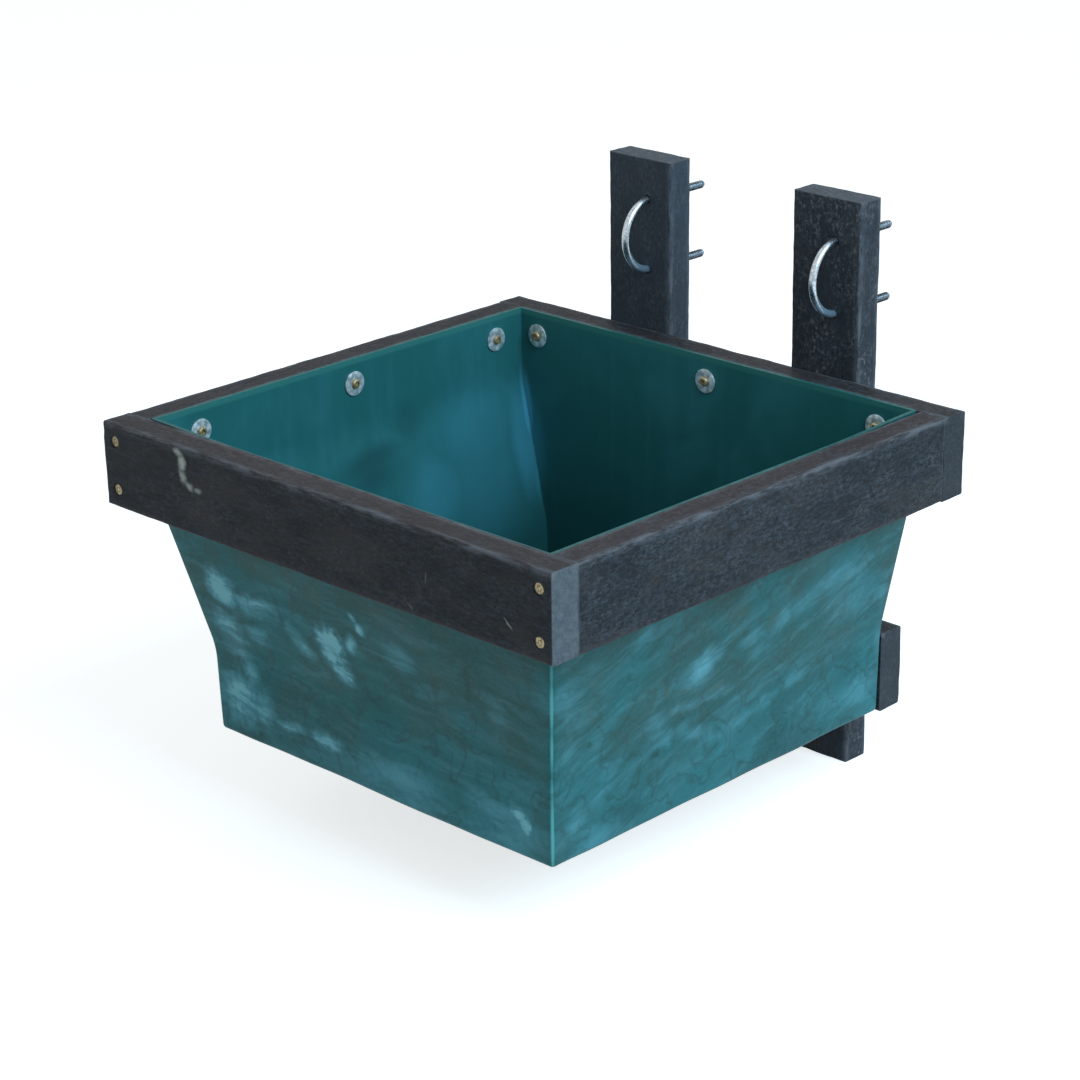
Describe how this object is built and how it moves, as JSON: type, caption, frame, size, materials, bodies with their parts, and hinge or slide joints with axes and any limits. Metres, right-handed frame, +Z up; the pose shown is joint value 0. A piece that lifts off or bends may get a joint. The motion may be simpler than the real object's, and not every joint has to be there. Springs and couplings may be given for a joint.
{
  "type": "feeding trough",
  "caption": "Square moulded plastic feeding trough in a frame of recycled plastic boards, hung on a fence rail by two rear posts with U-bolts.",
  "frame": {"origin": "where the fence rail bears on the posts: in the plane of the posts' front faces, midway between the sides, at the height of the U-bolts' centres", "axes": "+Z up, +X to the right along the front board and along the rail, +Y to the back"},
  "size_m": [0.56, 0.6223, 0.56],
  "materials": {
    "recycled_plastic": "charcoal recycled plastic, fine saw grain with pale specks",
    "tub_plastic": "teal green moulded plastic, semi-gloss inside, satin and clouded outside",
    "bright_zinc": "bright zinc plated steel",
    "yellow_zinc": "yellow zinc plated steel"
  },
  "bodies": {
    "trough": {"front_board": "recycled_plastic", "back_board": "recycled_plastic", "left_side_board": "recycled_plastic", "right_side_board": "recycled_plastic", "left_hanger_post": "recycled_plastic", "right_hanger_post": "recycled_plastic", "lower_cross_board": "recycled_plastic", "tub": "tub_plastic", "left_upper_u_bolt_washer": "bright_zinc", "left_lower_u_bolt_washer": "bright_zinc", "right_upper_u_bolt_washer": "bright_zinc", "right_lower_u_bolt_washer": "bright_zinc", "front_wall_screw_1_washer": "bright_zinc", "front_wall_screw_2_washer": "bright_zinc", "front_wall_screw_3_washer": "bright_zinc", "back_wall_screw_1_washer": "bright_zinc", "back_wall_screw_2_washer": "bright_zinc", "back_wall_screw_3_washer": "bright_zinc", "left_wall_screw_1_washer": "bright_zinc", "left_wall_screw_2_washer": "bright_zinc", "left_wall_screw_3_washer": "bright_zinc", "right_wall_screw_1_washer": "bright_zinc", "right_wall_screw_2_washer": "bright_zinc", "right_wall_screw_3_washer": "bright_zinc", "front_wall_screw_1": "yellow_zinc", "front_wall_screw_2": "yellow_zinc", "front_wall_screw_3": "yellow_zinc", "back_wall_screw_1": "yellow_zinc", "back_wall_screw_2": "yellow_zinc", "back_wall_screw_3": "yellow_zinc", "left_wall_screw_1": "yellow_zinc", "left_wall_screw_2": "yellow_zinc", "left_wall_screw_3": "yellow_zinc", "right_wall_screw_1": "yellow_zinc", "right_wall_screw_2": "yellow_zinc", "right_wall_screw_3": "yellow_zinc", "front_left_upper_corner_screw": "yellow_zinc", "front_left_lower_corner_screw": "yellow_zinc", "front_right_upper_corner_screw": "yellow_zinc", "front_right_lower_corner_screw": "yellow_zinc", "back_left_upper_corner_screw": "yellow_zinc", "back_left_lower_corner_screw": "yellow_zinc", "back_right_upper_corner_screw": "yellow_zinc", "back_right_lower_corner_screw": "yellow_zinc", "left_post_rim_upper_screw": "yellow_zinc", "left_post_rim_lower_screw": "yellow_zinc", "left_post_foot_upper_screw": "yellow_zinc", "left_post_foot_lower_screw": "yellow_zinc", "right_post_rim_upper_screw": "yellow_zinc", "right_post_rim_lower_screw": "yellow_zinc", "right_post_foot_upper_screw": "yellow_zinc", "right_post_foot_lower_screw": "yellow_zinc"},
    "left_bow": {"left_u_bolt": "bright_zinc"},
    "right_bow": {"right_u_bolt": "bright_zinc"},
    "left_upper_nut": {"left_upper_nut": "bright_zinc"},
    "left_lower_nut": {"left_lower_nut": "bright_zinc"},
    "right_upper_nut": {"right_upper_nut": "bright_zinc"},
    "right_lower_nut": {"right_lower_nut": "bright_zinc"}
  },
  "joints": [
    {"name": "left_u_bolt_slide", "type": "slide", "parent": "trough", "child": "left_bow", "axis": [0, -1, 0], "range_m": [0, 0.04]},
    {"name": "right_u_bolt_slide", "type": "slide", "parent": "trough", "child": "right_bow", "axis": [0, -1, 0], "range_m": [0, 0.04]},
    {"name": "left_upper_nut_turn", "type": "hinge", "parent": "trough", "child": "left_upper_nut", "pos_m": [-0.106, 0.0355, 0.035], "axis": [0, 1, 0], "range_deg": [0, 11521]},
    {"name": "left_lower_nut_turn", "type": "hinge", "parent": "trough", "child": "left_lower_nut", "pos_m": [-0.106, 0.0355, -0.035], "axis": [0, 1, 0], "range_deg": [0, 11521]},
    {"name": "right_upper_nut_turn", "type": "hinge", "parent": "trough", "child": "right_upper_nut", "pos_m": [0.126, 0.0355, 0.035], "axis": [0, 1, 0], "range_deg": [0, 11521]},
    {"name": "right_lower_nut_turn", "type": "hinge", "parent": "trough", "child": "right_lower_nut", "pos_m": [0.126, 0.0355, -0.035], "axis": [0, 1, 0], "range_deg": [0, 11521]}
  ],
  "couplings": [
    {"joint": "left_upper_nut_turn", "follows": "left_u_bolt_slide", "rad_per_m": 5026.5},
    {"joint": "left_lower_nut_turn", "follows": "left_u_bolt_slide", "rad_per_m": 5026.5},
    {"joint": "right_upper_nut_turn", "follows": "right_u_bolt_slide", "rad_per_m": 5026.5},
    {"joint": "right_lower_nut_turn", "follows": "right_u_bolt_slide", "rad_per_m": 5026.5}
  ]
}
